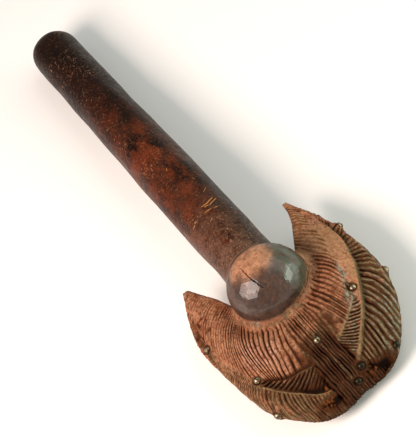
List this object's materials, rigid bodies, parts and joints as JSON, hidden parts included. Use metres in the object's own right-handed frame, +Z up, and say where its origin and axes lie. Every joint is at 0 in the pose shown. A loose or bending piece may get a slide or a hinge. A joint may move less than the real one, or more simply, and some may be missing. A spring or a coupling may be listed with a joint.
{
  "type": "carved wooden sceptre",
  "caption": "Carved wooden sceptre with a round polished grip, a ball where grip and head meet, and a crescent head of leaf fronds set with small domed nails.",
  "frame": {"origin": "middle of the bounding box, on the surface the sceptre lies on", "axes": "+X along the grip towards the carved head, +Z up, away from the surface it lies on"},
  "size_m": [0.469, 0.1376, 0.0762],
  "materials": {
    "wood": "satin",
    "nails": "aged"
  },
  "bodies": {
    "root": {"carved_wood": "wood", "nail_middle": "nails", "nail_right_ridge": "nails", "nail_left_ridge": "nails", "nail_right_horn": "nails", "nail_right_rim_upper": "nails", "nail_right_rim_lower": "nails", "nail_left_horn": "nails", "nail_left_rim": "nails", "nail_front_strip": "nails", "nail_right_frond_end": "nails"}
  },
  "joints": []
}
